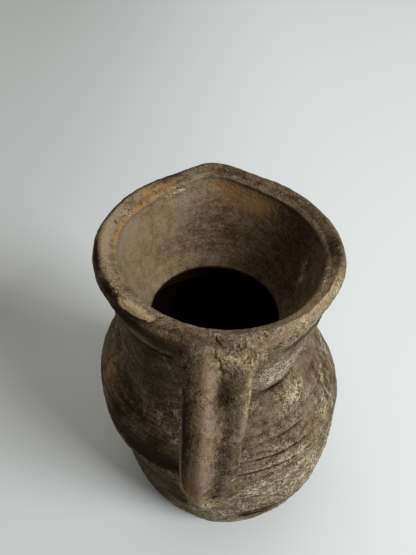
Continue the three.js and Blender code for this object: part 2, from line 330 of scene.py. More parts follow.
# Height of the fine relief in metres, its strength on rough and on calm clay, and the roughness of bare clay
# and of lime
finish = {"reliefHeight": 0.0007, "relief": (0.8, 0.3), "roughness": (0.78, 0.97), "specular": 0.04}


# Unglazed stoneware, thrown and wood-fired: dull brown clay with dark pits and fine drawn lines; lime crust
# lies on it as a haze of dry pale specks, split by fine cracks, and iron has bled out of it as rusty stains.
# The mesh carries where crust, stain, soot and painted shade, bare broken clay, wear and painted light, and
# calm clay lie, and the nodes break them up finely.
def stoneware(name, colours):
    material = bpy.data.materials.new(name)
    material.use_nodes = True
    tree = material.node_tree
    tree.nodes.clear()
    place = addNode(tree, "ShaderNodeTexCoord").outputs["Object"]
    sources = {key: addNode(tree, "ShaderNodeAttribute", {"attribute_name": key}).outputs["Fac"]
               for key in ("crust", "stain", "sootAndShade", "bare", "wearAndLight", "calm")}
    sideways, upwards = (1 / (size * metre) for size in colours["grain"])
    drawn = addNode(tree, "ShaderNodeMapping", None, {
        "Vector": place, "Scale": (sideways, sideways, upwards)}).outputs["Vector"]
    grains = {key: (place, 1 / (size * metre)) for key, size in grainSizes.items()}
    grains["lines"] = (drawn, 1.0)
    for key, (vector, scale) in grains.items():
        sources[key] = addNode(tree, "ShaderNodeTexNoise", None, {
            "Vector": vector, "Scale": scale, "Detail": 2.0, "Roughness": 0.55}).outputs["Fac"]
    bend = addNode(tree, "ShaderNodeTexNoise", None, {
        "Vector": place, "Scale": 1 / (crackle["bendSize"] * metre)}).outputs["Color"]
    bent = addNode(tree, "ShaderNodeVectorMath", {"operation": "MULTIPLY_ADD"}, {
        0: bend, 1: (crackle["bendReach"] * metre,) * 3, 2: place}).outputs[0]
    sources["cracks"] = addNode(tree, "ShaderNodeTexVoronoi", {"feature": "DISTANCE_TO_EDGE"}, {
        "Vector": bent, "Scale": 1 / (crackle["plateSize"] * metre)}).outputs["Distance"]

    # weighted sum of noises and masks
    def mix(weights):
        total = 0.0
        for key, weight in weights.items():
            total = addNode(tree, "ShaderNodeMath", {"operation": "MULTIPLY_ADD"}, {
                0: sources[key], 1: weight, 2: total}).outputs[0]
        return total

    # soft step from 0 at low to top at high
    def step(value, low, high, top=1.0):
        return addNode(tree, "ShaderNodeMapRange", {"interpolation_type": "SMOOTHSTEP"}, {
            "Value": value, "From Min": low, "From Max": high, "To Max": top}).outputs[0]

    # where a layer lies
    def coat(key, top=None):
        weights, low, high, most = coats[key]
        return step(mix(weights), low, high, most if top is None else top)

    # lays one colour over another where the mask is
    def over(colour, mask, top):
        return addNode(tree, "ShaderNodeMix", {"data_type": "RGBA"}, {
            0: mask, 6: colour, 7: linear(top) if isinstance(top, str) else top}).outputs[2]

    # clay passing from dark to light about the middle of its noises
    def shaded(weights):
        middle = 0.5 * sum(weights.values())
        spread = colours["spread"]
        light = step(mix({**weights, "wearAndLight": wearAndLightWeight}), middle - spread, middle + spread)
        return over(linear(colours["dark"]), light, colours["clay"])

    # straight passage from the first value to the second as the mask rises
    def passage(mask, ends):
        return addNode(tree, "ShaderNodeMapRange", None, {
            "Value": mask, "To Min": ends[0], "To Max": ends[1]}).outputs[0]

    sources["lime"] = coat("lime")
    colour = shaded({**roughLight, "lines": colours["lines"]})
    colour = over(colour, coat("ash"), colours["ash"])
    colour = over(colour, coat("rust"), colours["stain"])
    colour = over(colour, sources["lime"], colours["crust"])
    colour = over(colour, coat("chalk"), colours["chalk"])
    colour = over(colour, coat("cracked"), colours["dark"])
    colour = over(colour, coat("pits", colours["pits"]), colours["sootAndShade"])
    smoothed = over(shaded(calmLight), coat("calmRust"), colours["stain"])
    colour = over(colour, sources["calm"], smoothed)
    colour = over(colour, sources["bare"], colours["bare"])
    # soot and painted shade, laid over everything in the soot colour
    colour = over(colour, coat("black"), colours["sootAndShade"])
    relief = mix({"lime": 0.6, "grit": 0.9, "speck": 0.7, "lines": 0.5 * colours["lines"]})
    normal = addNode(tree, "ShaderNodeBump", None, {
        "Strength": passage(sources["calm"], finish["relief"]),
        "Distance": finish["reliefHeight"], "Height": relief}).outputs["Normal"]
    shader = addNode(tree, "ShaderNodeBsdfPrincipled", None, {
        "Base Color": colour, "Roughness": passage(sources["lime"], finish["roughness"]), "IOR": 1.5,
        "Specular IOR Level": finish["specular"], "Normal": normal})
    addNode(tree, "ShaderNodeOutputMaterial", None, {"Surface": shader.outputs["BSDF"]})
    return material


# grain gives the length and the height of the drawn lines in millimetres, spread how gently light clay
# passes into dark
# The soot colour is also the colour of painted shade, and wear also lightens clay as painted light.
wallClay = stoneware("stoneware_thrown_wall", {
    "clay": "938266", "dark": "3e2f20", "ash": "7b7463", "stain": "9a7444",
    "crust": "ac9f82", "chalk": "c6bda4", "bare": "ac9777", "sootAndShade": "22130a",
    "lines": 0.6, "grain": (14.0, 1.3), "spread": 0.64, "pits": 0.6})
strapClay = stoneware("stoneware_pulled_strap", {
    "clay": "99876a", "dark": "3a2918", "ash": "7e7667", "stain": "7e4a22",
    "crust": "a99a74", "chalk": "c4bba2", "bare": "b39b7b", "sootAndShade": "1e1008",
    "lines": 1.0, "grain": (1.5, 16.0), "spread": 0.72, "pits": 0.15})
print("materials made")

# Distances between the rows of points, in millimetres
rowStep = {
    "slab": 2.5, "foot": 0.9, "outside": 0.8, "inside": 2.2, "lip": 0.5, "strap": 0.5, "strapRound": 0.45}

# Columns of points round a piece
columnCount = {"slab": 300, "wall": 520, "lip": 760, "pad": 120}

# Wear and weathering shared by the turned pieces, with painted shadow in the scored lines; sizes in
# millimetres, directions in degrees. Four or five numbers are a noise as in uneven(); lift, crust, soot with
# painted shade, and wear with painted light hold the weights of what makes them up.
surface = {
    "lumps": (0, 0.5, 30.0, 1), "dents": (0, 0.16, 9.0, 41), "grit": (0, 1.0, 2.4, 6),
    "ridgeSpacing": 5.4, "ridgeDrift": (0, 1.6, 24.0, 2), "ridgeShare": (0.65, 0.5, 34.0, 3),
    "ridgeInside": 0.1,
    "crustBreak": (0, 0.42, 7.0, 7), "crustHeight": 0.35, "crustThick": (0.3, 0.9), "crustGrit": 0.8,
    "stainShare": (0.8, 0.5, 8.0, 8), "sootAndShadeShare": (0.8, 0.4, 14.0, 9),
    "wiping": (0, 1.0, 2.6, 10, 2), "wipeDraw": 0.08, "lineTilt": 3.0, "lineTurn": 60.0,
    "scoreFrom": 14.0, "scoreTo": 140.0, "scoreSpacing": 7.5, "scoreMiddle": 120.0, "scoreTurn": 95.0,
    "scoreWidth": 0.6, "scoreWiden": 0.7, "widenBelow": 80.0, "widenOver": 30.0,
    "scoreWave": (0, 1.6, 26.0, 4), "waveShift": 31.7,
    "scoreGaps": (0, 1.0, 20.0, 5, 2), "gapShift": 17.3, "scoreBreak": (-0.6, 0.05),
    "edgeAbove": 2.2, "edgeWidth": 1.8,
    "lift": {"lumps": 1.0, "ridges": 0.16, "grit": 0.13, "scores": -1.0, "edges": 0.4},
    # the scored lines get less crust and wear and more soot: painted shadow in the cuts
    "crust": {"edges": 0.3, "scores": -0.8, "wiped": 0.8},
    "sootAndShade": {"scores": 1.1},
    "wearAndLight": {"wiped": 1.2, "ridges": 0.4, "scores": -1.0, "lumps": 0.3, "edges": 0.45}, "dullness": 0.35,
}


# Degrees from a direction to an angle in radians, between -180 and 180.
def turned(angle, middle):
    return (np.degrees(angle) - middle + 180) % 360 - 180


# A bell curve round a direction in degrees.
def near(angle, middle, spread):
    return bump(turned(angle, middle), 0, spread)


# Sum of named fields, each times its weight.
def weighted(fields, weights):
    return sum(weight * fields[key] for key, weight in weights.items())


# Sum of soft-edged patches; each is angle and level of its middle, both spreads and a strength.
def patches(marks, angle, level):
    total = np.zeros(np.broadcast(angle, level).shape)
    for middle, place, turn, rise, strength in marks:
        total = total + strength * near(angle, middle, turn) * bump(level, place, rise)
    return total


# A plain share plus noise of a given height, size, seed and number of layers.
def uneven(points, plain, height, size, seed, layers=3):
    return plain + height * clayNoise(points, size, seed, layers)


# Height of the crust: a soft step over how much of it there is, made gritty.
def crustLift(crust, grit):
    return surface["crustHeight"] * smooth(crust, *surface["crustThick"]) * (1 + surface["crustGrit"] * grit)


# Scored lines and the raised edges above them: each line is a height with its direction, half turn and
# strength, waves and breaks off by noise, and is wider low on the wall.
def scoredLines(cuts, upright, angle, tilt):
    flat = upright * (1, 1, 0)
    height = upright[..., 2]
    scores = np.zeros(height.shape)
    edges = np.zeros(height.shape)
    for k, (place, middle, turn, strength) in enumerate(cuts):
        line = place + tilt + uneven(flat + (0, 0, surface["waveShift"] * k), *surface["scoreWave"])
        there = uneven(flat + (0, 0, surface["gapShift"] * k), *surface["scoreGaps"])
        there = strength * smooth(there, *surface["scoreBreak"]) * near(angle, middle, turn)
        low = smooth(surface["widenBelow"] - place, 0, surface["widenOver"])
        width = surface["scoreWidth"] * (1 + surface["scoreWiden"] * low)
        scores = scores + there * bump(height, line, width)
        edges = edges + there * bump(height, line + surface["edgeAbove"], surface["edgeWidth"])
    return scores, edges


# A ring of clay: the outline turned about the axis, lifted along its normals by lumps, throwing ridges that
# climb one spacing in a turn, scored lines that lie aslant with a raised edge above each, grit and crust.
# Wiped places have streaks that run up and down: noise with its heights drawn out.
def ringPiece(name, outline, columns, look, material, ring=True, level=None):
    radius, height, outR, outZ, relief, side = (column[:, None] for column in outline.T)
    level = height if level is None else level[:, None]
    angle = np.arange(columns)[None, :] * 2 * np.pi / columns
    upright = np.stack([radius * np.cos(angle), radius * np.sin(angle), height + 0 * angle], axis=-1)
    outside = smooth(side, -0.5, 0.5)
    inside = 1 - outside

    # marks of one kind on this piece
    def marks(key):
        return patches(look.get(key, []), angle, level)

    # marks on the outside, and on the inside those of the same name with In
    def marked(key):
        return marks(key) * outside + marks(key + "In") * inside

    aside = np.radians(turned(angle, -surface["lineTurn"]))
    tilt = -surface["lineTilt"] * np.sin(aside) * (1 + np.cos(aside)) / 2
    lumps = uneven(upright, *surface["lumps"]) + uneven(upright, *surface["dents"])
    drift = uneven(upright, *surface["ridgeDrift"])
    ridges = np.sin(2 * np.pi * ((height - tilt + drift) / surface["ridgeSpacing"] + angle / (2 * np.pi)))
    ridges = ridges * uneven(upright, *surface["ridgeShare"]) * look["ridges"]
    ridges = ridges * (surface["ridgeInside"] + (1 - surface["ridgeInside"]) * outside)
    places = np.arange(surface["scoreFrom"], surface["scoreTo"], surface["scoreSpacing"])
    cuts = [(place, surface["scoreMiddle"], surface["scoreTurn"], look["scores"]) for place in places]
    scores, edges = scoredLines(cuts + look.get("cuts", []), upright, angle, tilt)
    wiped = uneven(upright * (1, 1, surface["wipeDraw"]), *surface["wiping"])
    fields = {
        "lumps": lumps, "ridges": ridges, "grit": uneven(upright, *surface["grit"]),
        "scores": scores * outside, "edges": edges * outside, "wiped": marks("wiped") * outside * wiped}
    crust = marked("crust") + look["crustAll"] + weighted(fields, surface["crust"])
    crust = crust + uneven(upright, *surface["crustBreak"]) * outside
    stain = unit(marked("stain") * uneven(upright, *surface["stainShare"]))
    sootAndShade = marks("sootAndShade") * outside * uneven(upright, *surface["sootAndShadeShare"])
    sootAndShade = sootAndShade + (marks("shadeIn") + look.get("shadeAllIn", 0)) * inside + weighted(fields, surface["sootAndShade"])
    bare = np.zeros(ridges.shape)
    lift = weighted(fields, surface["lift"])
    if "extra" in look:
        more = look["extra"](upright, angle, level, outside)
        lift = lift + more.get("lift", 0)
        bare = unit(bare + more.get("bare", 0))
        sootAndShade = sootAndShade + more.get("sootAndShade", 0)
        stain = unit(stain + more.get("stain", 0))
        crust = (crust + more.get("crust", 0)) * (1 - bare)
        outwards, upwards = more.get("slide", (0, 0))
        slide = np.zeros(upright.shape)
        slide[..., 0] = outwards * np.cos(angle)
        slide[..., 1] = outwards * np.sin(angle)
        slide[..., 2] = upwards
        upright = upright + slide
    crust, sootAndShade = unit(crust), unit(sootAndShade)
    lift = lift + crustLift(crust, fields["grit"])
    upright = upright + (lift * relief)[..., None] * np.stack(
        [outR * np.cos(angle), outR * np.sin(angle), outZ + 0 * angle], axis=-1)
    # wear and painted light: the pale marks also paint light where the window's light falls
    wearAndLight = marked("pale") + weighted(fields, surface["wearAndLight"]) - surface["dullness"]
    wearAndLight = np.clip(wearAndLight, -1, 1)
    calm = unit(marks("calm") * outside + look.get("calmAllIn", 0) * inside - crust)
    masks = {"crust": crust, "stain": stain, "sootAndShade": sootAndShade, "bare": bare, "wearAndLight": wearAndLight, "calm": calm}
    return gridPiece(name, slump(upright), ring, masks, material)


# Base slab: flat foot with an eased edge, and the raised floor inside
slab = {"ease": 1.5, "pole": 0.5, "floorGap": 1.0, "relief": 0.3}
baseOutline = np.vstack([
    stretch([(slab["pole"], 0), (pot["footRadius"] - slab["ease"], 0)], rowStep["slab"], slab["relief"], 1),
    stretch(between(lowerCurve, slab["ease"], pot["slabHeight"]), rowStep["foot"], 1, 1),
    jointFace((pot["floorRadius"], pot["slabHeight"]), (pot["floorRadius"], pot["floorHeight"])),
    stretch([
        (pot["floorRadius"] - slab["floorGap"], pot["floorHeight"]), (slab["pole"], pot["floorHeight"])],
        rowStep["slab"], slab["relief"], -1)])
base = ringPiece("jug_base", baseOutline, columnCount["slab"], {
    # inside, the floor is painted dark as shade, so that it stays black through the throat
    "ridges": 0.4, "scores": 0.6, "crustAll": 0.1, "shadeAllIn": 0.85},
    wallClay, ring=False)
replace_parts(base, "base_disc")


# The smear's direction, half turn and height
seamSmear = {"middle": -15, "spread": 70, "height": 10.0}


# On the right the joint with the upper wall is smeared over: the lower wall swells out to meet it.
def smearedSeam(upright, angle, level, outside):
    right = near(angle, seamSmear["middle"], seamSmear["spread"])
    swell = smooth(level, pot["seamHeight"] - seamSmear["height"], pot["seamHeight"])
    return {"lift": pot["ledge"] * right * swell * outside}


# Lower wall: scored and crusted on the right, plain and painted dark as shade on the left, away from the
# window
lapRadius = pot["bellyRadius"] - pot["wall"] / 2
lapTop = pot["seamHeight"] + pot["lapHeight"]
lowerOutline = np.vstack([
    stretch(between(lowerCurve, pot["slabHeight"], pot["seamHeight"]), rowStep["outside"], 1, 1),
    jointFace((lapRadius, pot["seamHeight"]), (lapRadius, lapTop)),
    stretch(np.vstack([
        (pot["bellyRadius"] - pot["wall"], lapTop),
        between(lowerInside, pot["floorHeight"], pot["seamHeight"])[::-1]]), rowStep["inside"], 1, -1),
    jointFace((pot["floorRadius"], pot["floorHeight"]), (pot["floorRadius"], pot["slabHeight"]))])
lower = ringPiece("jug_lower_wall", lowerOutline, columnCount["wall"], {
    "ridges": 0.6, "scores": 0.8, "crustAll": 0.05,
    "cuts": [
        (99, -48, 36, 0.9), (91, -60, 38, 1.0), (84, -48, 36, 0.9), (77, -58, 38, 1.1), (70, -46, 34, 0.9),
        (63, -60, 38, 1.1), (56, -46, 38, 1.0), (49, -60, 38, 1.0), (42, -48, 38, 1.0), (35, -58, 38, 1.0),
        (28, -50, 38, 0.9), (95, -38, 20, 0.8), (87.5, -36, 22, 0.8), (80, -70, 22, 0.8),
        (73.5, -34, 22, 0.8), (66.5, -72, 24, 0.8), (59.5, -38, 24, 0.8), (52.5, -70, 24, 0.8),
        (99, -135, 28, 0.5), (95, -125, 28, 0.4), (91, -135, 28, 0.5), (87, -125, 28, 0.4),
        (83, -130, 28, 0.5), (79, -120, 28, 0.4), (75, -128, 28, 0.5), (71, -118, 26, 0.4),
        (67, -122, 26, 0.5)],
    "crust": [(-60, 92, 26, 14, 0.4), (-45, 62, 45, 40, 0.45), (-25, 95, 22, 20, 0.1),
              (-50, 28, 40, 8, -0.3), (-96, 50, 14, 16, 0.9)],
    "stain": [(-20, 95, 12, 12, 0.4)],
    "pale": [(-50, 62, 32, 24, 0.5)],
    "wiped": [(-8, 85, 24, 30, 0.8)],
    # the soot on the left is painted shade, on the side away from the window
    "sootAndShade": [(-150, 70, 50, 60, 0.7), (-118, 72, 26, 36, 0.3), (-70, 50, 26, 10, 0.7)],
    # inside, the wall is painted dark as shade so that the belly seen through the throat is black
    "shadeAllIn": 1.0, "extra": smearedSeam},
    wallClay)
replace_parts(lower, "lower_body")


# Bead and hollow, in degrees and millimetres
bead = {
    "middle": -135, "spread": 42, "above": 1.4, "half": 1.4, "height": 0.8, "crust": 0.1, "sootAndShade": 0.5,
    "hollowAbove": 8.0, "hollowHalf": 5.0, "hollowDepth": 1.2,
}


# On the left the upper wall ends in a rolled bead, with a hollow above it painted dark as shade.
def rolledEdge(upright, angle, level, outside):
    left = near(angle, bead["middle"], bead["spread"]) * outside
    roll = bump(level, pot["seamHeight"] + bead["above"], bead["half"])
    hollow = bump(level, pot["seamHeight"] + bead["hollowAbove"], bead["hollowHalf"])
    return {"lift": left * (bead["height"] * roll - bead["hollowDepth"] * hollow),
            "sootAndShade": left * bead["sootAndShade"] * (hollow - roll), "crust": bead["crust"] * left * roll}


# Upper wall and shoulder
upperOutline = np.vstack([
    stretch(upperCurve, rowStep["outside"], 1, 1),
    stretch(between(upperInside, lapTop, upperInside[-1, 1])[::-1], rowStep["inside"], 1, -1),
    jointFace((lapRadius, lapTop), (lapRadius, pot["seamHeight"]))])
upper = ringPiece("jug_shoulder_wall", upperOutline, columnCount["wall"], {
    "ridges": 0.5, "scores": 0.6, "crustAll": 0.05,
    "cuts": [(120, -56, 28, 1.0), (112, -58, 30, 1.0), (129, -50, 16, 0.8), (137, -32, 20, 0.5)],
    "crust": [(-43, 145, 9, 6, 0.75), (-60, 113, 22, 9, 0.4), (-45, 120, 45, 40, 0.06),
              (-14, 125, 14, 24, 0.03), (-18, 145, 12, 7, -0.4), (-64, 143, 9, 7, -0.25),
              (-110, 150.5, 5, 5, 0.7), (-118, 146, 10, 8, 0.2)],
    "stain": [(-160, 136, 9, 12, 1.0), (-42, 115, 4, 7, 0.5), (-42, 145, 9, 7, 0.6)],
    # the soot on the left and beside the handle is painted shade, away from the window and in the handle's
    # shadow
    "sootAndShade": [(-135, 128, 42, 34, 0.75), (-114, 113, 22, 8, 0.55), (-160, 136, 9, 12, -0.5),
             (-110, 150.5, 5, 5, -0.5), (-52, 151.6, 18, 0.9, 0.9), (-64, 143, 9, 7, 0.2),
             (-18, 146, 12, 7, 0.2)],
    "wiped": [(-14, 130, 22, 22, 0.9), (-135, 130, 40, 20, 0.3)],
    "calm": [(-22, 143, 14, 9, 0.8), (-66, 144, 12, 6, 0.6), (-140, 128, 40, 25, 0.3)],
    # inside, the wall is painted dark as shade so that it stays black through the throat
    "shadeAllIn": 1.0, "extra": rolledEdge},
    wallClay)
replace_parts(upper, "upper_body")


# Smear with its ridge, groove under the lip with painted shadow in it, and painted shade below the throat,
# in degrees and millimetres
smear = {
    "middle": -128, "spread": 27, "top": 187.0, "foot": (60.0, 139.5), "bend": (53.5, 150.0),
    "ridgeMiddle": -122, "ridgeTop": 190.0, "ridgeFall": 0.11, "ridgeAside": (8, 7), "ridgeHalf": 1.0,
    "ridgeHeight": 0.9, "ridgeCrust": 0.6, "ridgeClean": 0.7,
}
underLip = {"least": 0.5, "more": 0.5, "middle": -50, "spread": 40, "below": 1.0, "half": 1.2,
            "depth": 0.7, "sootAndShade": 0.5}
throatShade = {"from": -0.5, "to": 1.5, "strength": 2.0}


# On the left, clay smeared up from the shoulder fills the crease: there the neck's outside follows a curve
# from the shoulder to just below the lip. The smear's upper edge is a thin ridge that falls to the handle.
def smearedRidge(upright, angle, level, outside):
    radius = np.hypot(upright[..., 0], upright[..., 1])
    share = unit((level - pot["neckFootHeight"]) / (smear["top"] - pot["neckFootHeight"]))
    head = (np.interp(smear["top"], neckCurve[:, 1], neckCurve[:, 0]), smear["top"])
    filled = bezier([smear["foot"], smear["bend"], head], share)
    there = near(angle, smear["middle"], smear["spread"]) * outside * (level < smear["top"])
    aside = turned(angle, smear["ridgeMiddle"])
    path = smear["ridgeTop"] - smear["ridgeFall"] * aside * np.abs(aside)
    ridge = bump(aside, *smear["ridgeAside"]) * bump(level, path, smear["ridgeHalf"]) * outside
    # the groove under the lip is painted dark as its shadow
    groove = underLip["least"] + underLip["more"] * near(angle, underLip["middle"], underLip["spread"])
    groove = groove * bump(level, pot["neckTopHeight"] - underLip["below"], underLip["half"]) * outside
    # inside below the throat, painted dark as shade so that the belly beyond is black
    throat = pot["throatHeight"]
    below = (1 - outside) * (1 - smooth(level, throat + throatShade["from"], throat + throatShade["to"]))
    sootAndShade = underLip["sootAndShade"] * groove - smear["ridgeClean"] * ridge + throatShade["strength"] * below
    return {"lift": smear["ridgeHeight"] * ridge - underLip["depth"] * groove,
            "crust": smear["ridgeCrust"] * ridge, "sootAndShade": sootAndShade,
            "slide": (there * (filled[..., 0] - radius), there * (filled[..., 1] - level))}


# Neck: flaring outside, funnel inside, undercut and painted dark as shade below the throat
tongue = {"height": 2.5, "undercut": 8.0}
tongueTop = pot["neckTopHeight"] + tongue["height"]
tongueMiddle = (pot["neckTopRadius"] + funnelRadius(pot["neckTopHeight"])) / 2
seatFoot = upperInside[-1]
neckOutline = np.vstack([
    stretch(neckCurve, rowStep["outside"], 1, 1),
    jointFace((tongueMiddle, pot["neckTopHeight"]), (tongueMiddle, tongueTop)),
    stretch(between(funnelCurve, pot["throatHeight"], tongueTop)[::-1], rowStep["outside"], 1, -1),
    jointFace((seatFoot[0], pot["throatHeight"] - tongue["undercut"]), seatFoot)])
neck = ringPiece("jug_neck", neckOutline, columnCount["wall"], {
    "ridges": 0.4, "scores": 0.0, "crustAll": 0.0,
    "crust": [(-55, 174, 24, 12, 0.65), (-50, 160, 13, 7, 1.0)],
    "crustIn": [(9, 193, 2, 2.5, 0.7), (4, 186, 2, 2.5, 0.7)],
    "pale": [(-50, 160, 13, 7, 0.8)],
    # inside, the pale on the left of the funnel is painted light where the window's light falls; the small
    # spots are lime flakes
    "paleIn": [(168, 190, 50, 40, 0.75), (100, 175, 30, 30, 0.2), (9, 193, 2, 3, 1.0), (4, 186, 2, 3, 1.0)],
    "stainIn": [(72, 202.4, 22, 8, 1.3), (9, 193, 2, 3, 0.5), (4, 186, 2, 3, 0.5), (115, 175, 14, 9, 0.25)],
    # the soot on the left is painted shade, the shadow of the lip and handle on the neck, with painted
    # shadow just under the lip; inside, the soot on the back and right of the funnel is painted shade on
    # walls facing away from the window
    "sootAndShade": [(-130, 172, 38, 40, 0.7), (-128, 190, 32, 4, 0.6), (-52, 152.4, 18, 0.9, 1.0)],
    "shadeIn": [(85, 184, 38, 26, 0.55), (20, 185, 38, 40, 0.58), (72, 202.4, 22, 8, -0.25),
               (9.5, 193, 2.2, 4, -0.8), (4, 186, 2.2, 4, -0.8)],
    "calm": [(-130, 172, 38, 30, 0.4)],
    "calmAllIn": 0.55, "extra": smearedRidge},
    wallClay)
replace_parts(neck, "neck")

# Lip: rounded outer edge over a tapering flank, top falling towards the mouth, worn inner edge
lip = {
    "round": 4.5, "rise": 6.0, "flankTouch": -26.0,             # the last in degrees
    "easeReach": 1.6, "easeFall": 0.75, "easeOut": 0.1,         # corners of the inner edge
    "farLevel": 99.0,                                           # level of the joint, away from all marks
}
lipTurn = np.linspace(np.radians(lip["flankTouch"]), np.pi / 2, 60)
lipEdge = np.column_stack([
    pot["mouthRadius"] - lip["round"] + lip["round"] * np.cos(lipTurn),
    pot["mouthHeight"] - lip["rise"] + lip["rise"] * np.sin(lipTurn)])
innerFoot = boreHeight - pot["lipEase"]
easeRadius = pot["mouthBore"] + lip["easeReach"] * pot["lipEase"]
innerEdge = bezier([
    (easeRadius, pot["mouthHeight"] - pot["lipFall"] * lip["easeFall"]),
    (pot["mouthBore"] + lip["easeOut"], pot["mouthHeight"] - pot["lipFall"]),
    (funnelRadius(innerFoot), innerFoot)], np.linspace(0, 1, 12))
lipLine = np.vstack([
    (pot["neckTopRadius"], pot["neckTopHeight"]), lipEdge, innerEdge,
    between(funnelCurve, tongueTop, innerFoot)[::-1]])
lipSide = len(lipEdge) + 1         # rows of the line from the neck up to the crest
lipStretch = stretch(lipLine, rowStep["lip"], 1, 1)
lipStretch[(lipStretch[:, 0] < pot["mouthBore"]) & (lipStretch[:, 1] < innerFoot), 5] = -1
lipOutline = np.vstack([
    lipStretch,
    jointFace((tongueMiddle, tongueTop), (tongueMiddle, pot["neckTopHeight"]))])
lipCrest = np.argmax(lipStretch[:, 1])
lipLevel = np.append((np.arange(len(lipStretch)) - lipCrest) * rowStep["lip"], [lip["farLevel"]] * 2)


# Damage on the lip: directions in degrees, levels in millimetres inwards from the crest. Edge, widened,
# groove and rust are levels from the inner edge with half widths, names with Bare or Stain are a share and
# what ragged noise adds, and lift and soot with painted shade hold the weights of the marks.
damage = {
    "ragged": (0, 1.0, 3.5, 31, 2),
    "chip": {"middle": -129.5, "turn": 12.0, "half": 4.0, "shift": 0.5, "tilt": 0.15, "ragged": 0.35,
             "edge": 0.13},
    "chipShadow": {"half": 0.12, "fall": 1.5, "turn": 11.0},
    "notch": (-119.5, 3.0, 1.2, 2.0, 1.0), "pit": (165.6, 4.0, 1.2, 1.0, 1.0),
    "crack": {"middle": -92.0, "level": 3.0, "lean": 0.35, "wander": (0, 1.0, 4.0, 32, 2), "half": 0.18,
              "starts": (-8, -6), "ends": (-2, 1)},
    "innerLevel": 7.8, "innerWider": 1.8, "widerNear": (140, 28), "gapNear": (-58, 48),
    "edge": (0.0, 0.8), "widened": (-1.2, 1.4), "groove": (-3.2, 1.0), "rust": (-0.8, 1.4),
    "rustStarts": (-66, -50), "rustEnds": (28, 42), "wornNear": (55, 62),
    "rubbed": (-38, 0.0, 17, 4.5, 0.9), "rubbing": (0, 1.0, 1.8, 33, 2), "rubBreak": (-0.5, 0.4),
    "pressNear": (-35, 20), "pressLevels": (-2, 3), "pressDepth": 2.8,
    "chipBare": (0.8, 0.25), "wornBare": (0.36, 0.3), "rustStain": (0.8, 0.6),
    "lift": {"edge": 0.5, "widened": 0.5, "groove": -0.25, "chip": -1.7, "notch": -1.6, "crack": -0.7,
             "pit": -0.9},
    "sootAndShade": {"notch": 0.7, "crack": 0.8, "pit": 0.8, "groove": 0.2, "chipShadow": 0.7, "chip": -0.5},
}

# Clay that fills the lip's flank out to the strap, in millimetres
lipFillet = {"halfWidth": 15.5, "end": 1.3, "top": 208.5, "roundOff": 5.0, "reach": 12.0, "height": 3.0,
             "levels": (0.5, 5)}


# Damage on the lip, by travel inwards from its crest: a pale chip with painted shadow under its lower edge,
# a notch beside it, a crack over the handle, a pit, and a worn inner edge. The outer edge is pressed in on
# the front right, and over the handle the flank is filled out to meet the strap.
def lipDamage(upright, angle, level, outside):
    x, y, z = np.moveaxis(upright, -1, 0)
    ragged = uneven(upright, *damage["ragged"])
    marks = {key: patches([damage[key]], angle, level) for key in ("notch", "pit")}
    chip, chipShadow = damage["chip"], damage["chipShadow"]
    aside = turned(angle, chip["middle"])
    tilted = level + chip["shift"] - chip["tilt"] * aside
    lens = 1 - (aside / chip["turn"]) ** 2 - (tilted / chip["half"]) ** 2 + chip["ragged"] * ragged
    marks["chip"] = smooth(lens, 0, chip["edge"])
    # chipShadow: painted shadow under the chip's lower edge
    marks["chipShadow"] = bump(lens, -chipShadow["half"], chipShadow["half"]) * bump(aside, 0, chipShadow["turn"])
    marks["chipShadow"] = marks["chipShadow"] * smooth(-tilted, 0, chipShadow["fall"])
    crack = damage["crack"]
    line = crack["middle"] - crack["lean"] * (level + crack["level"]) + uneven(upright, *crack["wander"])
    marks["crack"] = bump(turned(angle, 0) - line, 0, crack["half"])
    marks["crack"] = marks["crack"] * smooth(level, *crack["starts"]) * (1 - smooth(level, *crack["ends"]))
    gap = 1 - near(angle, *damage["gapNear"])
    inner = damage["innerLevel"] + damage["innerWider"] * near(angle, *damage["widerNear"])
    for key in ("edge", "widened", "groove"):
        marks[key] = gap * bump(level - inner, *damage[key])
    turn = turned(angle, 180)
    rust = smooth(turn, *damage["rustStarts"]) * (1 - smooth(turn, *damage["rustEnds"]))
    rust = rust * bump(level - inner, *damage["rust"])
    worn = near(angle, *damage["wornNear"]) * marks["edge"]
    rubbed = smooth(uneven(upright, *damage["rubbing"]), *damage["rubBreak"])
    rubbed = rubbed * patches([damage["rubbed"]], angle, level)
    sideways = x / lipFillet["halfWidth"]
    above = z - lipFillet["top"] + lipFillet["roundOff"] * sideways ** 4
    above = unit(above / lipFillet["reach"])
    filled = lipFillet["height"] * (1 - above) ** 2 * smooth(-level, *lipFillet["levels"])
    filled = filled * (np.abs(sideways) < lipFillet["end"]) * (y < 0)
    pressed = damage["pressDepth"] * near(angle, *damage["pressNear"])
    pressed = pressed * smooth(-level, *damage["pressLevels"])
    chipBare, wornBare, rustStain = (
        damage[key][0] + damage[key][1] * ragged for key in ("chipBare", "wornBare", "rustStain"))
    return {"lift": weighted(marks, damage["lift"]) + filled, "slide": (-pressed, 0),
            "bare": marks["chip"] * chipBare + worn * wornBare + rubbed,
            "sootAndShade": weighted(marks, damage["sootAndShade"]), "stain": rust * rustStain}


